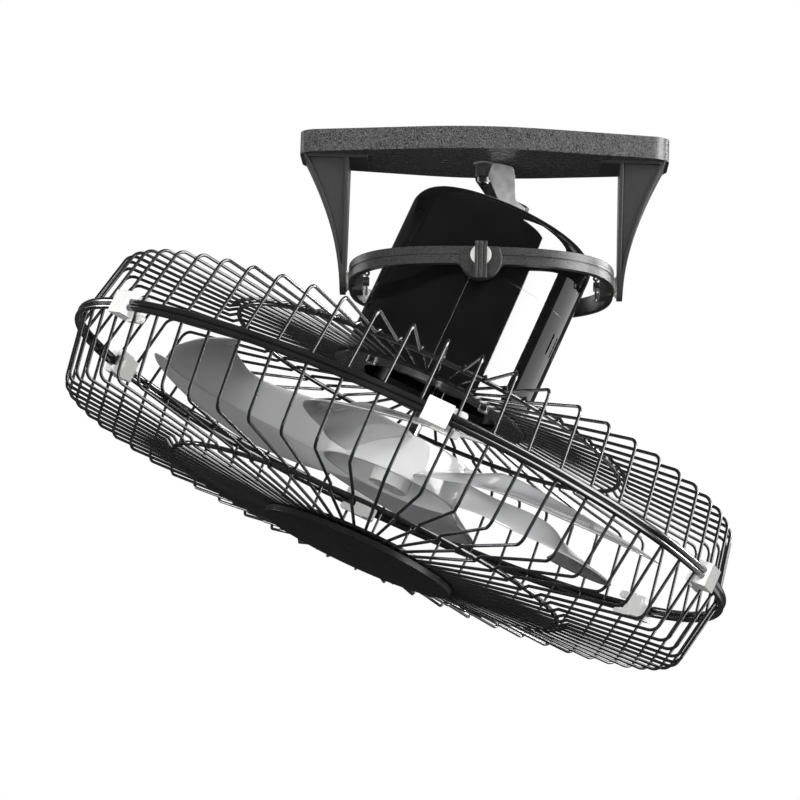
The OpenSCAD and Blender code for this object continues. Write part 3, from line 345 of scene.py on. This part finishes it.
def rib_mesh():
    """The thin walls inside the hub, between its tube and its rim, lower in the middle than at the ends."""
    points, faces = [], []
    for k in range(BLADE_N):
        turn = Matrix.Rotation(math.radians(BLADE_TURN + 360 / BLADE_N * (k + 0.5)), 4, "Z")
        first = len(points)
        for i in range(RIB_STEPS + 1):
            t = i / RIB_STEPS
            x = RIB_FROM_R + (HUB_R - 0.0022 - RIB_FROM_R) * t
            top, low = hub_back - 0.002, -HUB_SEAT + 0.004 * math.sin(math.pi * t)
            for y, z in ((-0.001, top), (0.001, top), (0.0008, low), (-0.0008, low)):
                points.append(turn @ Vector((x, y, z)))
        for i in range(RIB_STEPS):
            a, b = first + 4 * i, first + 4 * (i + 1)
            faces.extend((a + j, a + (j + 1) % 4, b + (j + 1) % 4, b + j) for j in range(4))
        faces.append((first, first + 1, first + 2, first + 3))
        faces.append(tuple(first + 4 * RIB_STEPS + j for j in (3, 2, 1, 0)))
    return points, faces


ribs = add_mesh("hub_ribs", *rib_mesh(), "rotor", "smoke_plastic")
for piece in (blades, hub, ribs):
    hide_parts("fan_blades")


# ---------- light and surroundings ----------

CENTRE = Vector((0.0, 0.0, -0.2))
BEHIND = (-0.032, 0.972, 0.23)


def aim(thing, at):
    """Puts thing at a place, facing the fan."""
    thing.location = at
    thing.rotation_mode = "QUATERNION"
    thing.rotation_quaternion = (CENTRE - Vector(at)).to_track_quat("-Z", "Y")
    bpy.context.collection.objects.link(thing)


def sheet(name, half_x, half_y, z=0.0):
    """A flat rectangular mesh about its origin."""
    corners = [(x * half_x, y * half_y, z) for x, y in ((-1, -1), (1, -1), (1, 1), (-1, 1))]
    mesh = bpy.data.meshes.new(name)
    mesh.from_pydata(corners, [], [(0, 1, 2, 3)])
    return mesh


def soft_light(name, at, size, power):
    """A large lamp that leaves no mirror image of itself."""
    light = bpy.data.lights.new(name, "AREA")
    light.shape = "RECTANGLE"
    light.size, light.size_y = size
    light.energy = power
    holder = bpy.data.objects.new(name, light)
    holder.visible_glossy = False
    aim(holder, at)


def card(name, at, size, strength):
    """A bright panel that only glossy surfaces see."""
    width, height = size
    mesh = sheet(name, width / 2, height / 2)
    panel = bpy.data.objects.new(name, mesh)
    glow = bpy.data.materials.new(name)
    glow.use_nodes = True
    tree = glow.node_tree
    tree.nodes.clear()
    emission = tree.nodes.new("ShaderNodeEmission")
    emission.inputs["Strength"].default_value = strength
    output = tree.nodes.new("ShaderNodeOutputMaterial")
    tree.links.new(emission.outputs["Emission"], output.inputs["Surface"])
    mesh.materials.append(glow)
    panel.visible_camera = False
    panel.visible_diffuse = False
    panel.visible_shadow = False
    panel.visible_transmission = False
    aim(panel, at)


# How near to BEHIND a direction is, as a cosine, and what glossy surfaces see there
CONE_EDGE, GLOSSY_LEVELS = (0.975, 0.992), (0.035, 1.0)
# The height of a direction, and the fill that matt surfaces get from there
FILL_HEIGHTS, FILL_LEVELS = (-0.3, 0.5), (0.1, 0.6)
MIX_FACTOR, MIX_A, MIX_B = 0, 2, 3


def between(tree, source, start_end, levels):
    """The value that goes from the first to the second level as source goes from start to end."""
    made = tree.nodes.new("ShaderNodeMapRange")
    made.inputs["From Min"].default_value, made.inputs["From Max"].default_value = start_end
    made.inputs["To Min"].default_value, made.inputs["To Max"].default_value = levels
    tree.links.new(source, made.inputs["Value"])
    return made.outputs["Result"]


def make_world():
    """White behind the object, a dark studio in front of it, and an even fill on matt surfaces."""
    world = bpy.data.worlds.new("studio")
    bpy.context.scene.world = world
    world.use_nodes = True
    tree = world.node_tree
    tree.nodes.clear()
    where = tree.nodes.new("ShaderNodeTexCoord")
    along = tree.nodes.new("ShaderNodeVectorMath")
    along.operation = "DOT_PRODUCT"
    along.inputs[1].default_value = BEHIND
    tree.links.new(where.outputs["Generated"], along.inputs[0])
    behind = between(tree, along.outputs["Value"], CONE_EDGE, GLOSSY_LEVELS)
    axes = tree.nodes.new("ShaderNodeSeparateXYZ")
    tree.links.new(where.outputs["Generated"], axes.inputs["Vector"])
    above = between(tree, axes.outputs["Z"], FILL_HEIGHTS, FILL_LEVELS)
    path = tree.nodes.new("ShaderNodeLightPath")
    seen = tree.nodes.new("ShaderNodeMath")
    seen.operation = "MAXIMUM"
    tree.links.new(path.outputs["Is Camera Ray"], seen.inputs[0])
    tree.links.new(path.outputs["Is Transmission Ray"], seen.inputs[1])
    fill = tree.nodes.new("ShaderNodeMix")
    tree.links.new(above, fill.inputs[MIX_A])
    tree.links.new(path.outputs["Is Glossy Ray"], fill.inputs[MIX_FACTOR])
    tree.links.new(behind, fill.inputs[MIX_B])
    mix = tree.nodes.new("ShaderNodeMix")
    mix.inputs[MIX_B].default_value = 1.0
    tree.links.new(seen.outputs[0], mix.inputs[MIX_FACTOR])
    tree.links.new(fill.outputs[0], mix.inputs[MIX_A])
    background = tree.nodes.new("ShaderNodeBackground")
    background.inputs["Color"].default_value = (1, 1, 1, 1)
    tree.links.new(mix.outputs[0], background.inputs["Strength"])
    output = tree.nodes.new("ShaderNodeOutputWorld")
    tree.links.new(background.outputs["Background"], output.inputs["Surface"])


FLOOR_GLOW = 0.45


def make_floor(z, half):
    """A plain pale floor, a hall's height below the ceiling that the fan hangs from."""
    mesh = sheet("floor", half, half, z)
    floor = bpy.data.objects.new("floor", mesh)
    bpy.context.collection.objects.link(floor)
    made = Maker("floor")
    made.ramp(made.noise(2.0), (0.74, 0.74, 0.73), (0.78, 0.78, 0.77), "Base Color")
    made.put("Roughness", 0.6)
    made.put("Emission Color", (1, 1, 1, 1))
    seen = made.node("ShaderNodeLightPath")
    glow = made.node("ShaderNodeMath", operation="MULTIPLY")
    glow.inputs[1].default_value = FLOOR_GLOW
    made.link(seen.outputs["Is Camera Ray"], glow.inputs[0])
    made.link(glow.outputs[0], made.shader.inputs["Emission Strength"])
    mesh.materials.append(made.material)
    floor.visible_glossy = False
    floor.visible_diffuse = False


make_floor(-4.0, 40.0)
make_world()
card("right_card", (1.9, -0.66, 0.2), (1.36, 3.2), 12)
card("left_card", (-1.67, 0.96, 0.1), (0.45, 0.36), 12)
card("end_card", (1.67, 0.96, 0.1), (0.45, 0.36), 50)
card("far_card", (1.56, 1.18, -0.56), (1.6, 3.0), 0.7)
soft_light("top_light", (0.9, -1.6, 0.9), (1.6, 0.8), 34)
soft_light("left_light", (-1.8, -1.0, 0.0), (0.8, 1.6), 8)
soft_light("low_light", (-0.7, -1.8, -0.45), (1.2, 1.0), 26)

bpy.context.scene.view_settings.view_transform = "Standard"
